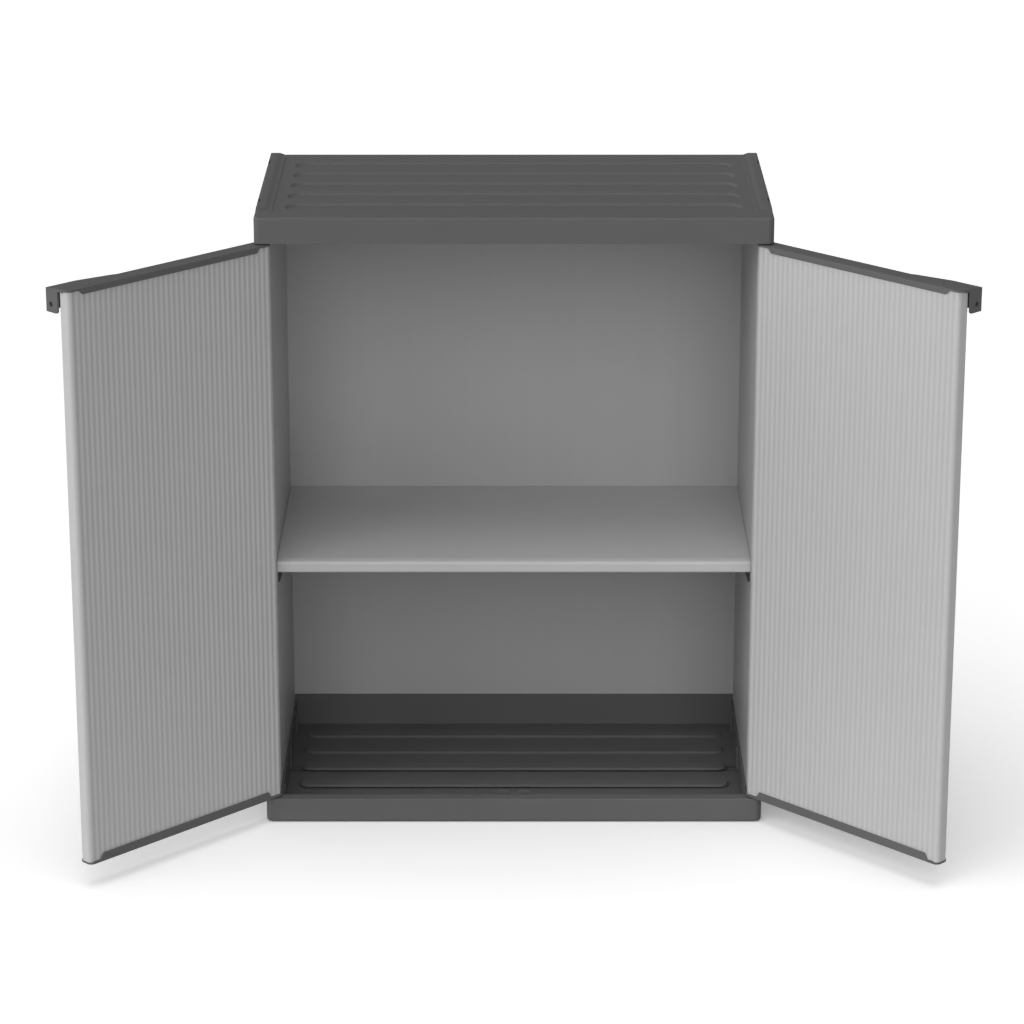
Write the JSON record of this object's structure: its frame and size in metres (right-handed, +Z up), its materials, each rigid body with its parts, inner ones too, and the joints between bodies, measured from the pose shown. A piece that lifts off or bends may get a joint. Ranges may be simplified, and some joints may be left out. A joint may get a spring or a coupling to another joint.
{
  "type": "garden storage cabinet",
  "caption": "Low free-standing resin storage cabinet with fluted swinging doors, a lift-out shelf, a ribbed base tray, a grooved roof and padlock tabs on the doors' finger pulls.",
  "frame": {"origin": "on the floor, under the middle of the carcass's footprint", "axes": "+X to the right as seen from the front, +Y to the back, +Z up"},
  "size_m": [1.1752, 0.5972, 0.8561],
  "materials": {
    "frame_resin": "fine satin grain",
    "panel_resin": "satin, extruded",
    "shelf_resin": "satin",
    "support_resin": "satin",
    "hinge_steel": "plain"
  },
  "bodies": {
    "carcass": {"base_tray": "frame_resin", "roof_cover": "frame_resin", "back_panel": "panel_resin", "side_panel_left": "panel_resin", "side_panel_right": "panel_resin", "hinge_pin_lower_left": "hinge_steel", "hinge_pin_upper_left": "hinge_steel", "hinge_pin_lower_right": "hinge_steel", "hinge_pin_upper_right": "hinge_steel", "shelf_support_left_front": "support_resin", "shelf_support_left_middle": "support_resin", "shelf_support_left_back": "support_resin", "shelf_support_right_front": "support_resin", "shelf_support_right_middle": "support_resin", "shelf_support_right_back": "support_resin"},
    "left_door": {"door_panel_left": "panel_resin", "door_top_cap_left": "frame_resin", "door_bottom_cap_left": "frame_resin"},
    "right_door": {"door_panel_right": "panel_resin", "door_top_cap_right": "frame_resin", "door_bottom_cap_right": "frame_resin"},
    "shelf": {"shelf": "shelf_resin"}
  },
  "joints": [
    {"name": "left_door_swing", "type": "hinge", "parent": "carcass", "child": "left_door", "pos_m": [-0.3315, -0.173, 0], "axis": [0, 0, 1], "range_deg": [-45, 135]},
    {"name": "right_door_swing", "type": "hinge", "parent": "carcass", "child": "right_door", "pos_m": [0.3315, -0.173, 0], "axis": [0, 0, -1], "range_deg": [-45, 135]},
    {"name": "shelf_lift", "type": "slide", "parent": "carcass", "child": "shelf", "axis": [0, 0, 1], "range_m": [0, 0.12]}
  ]
}
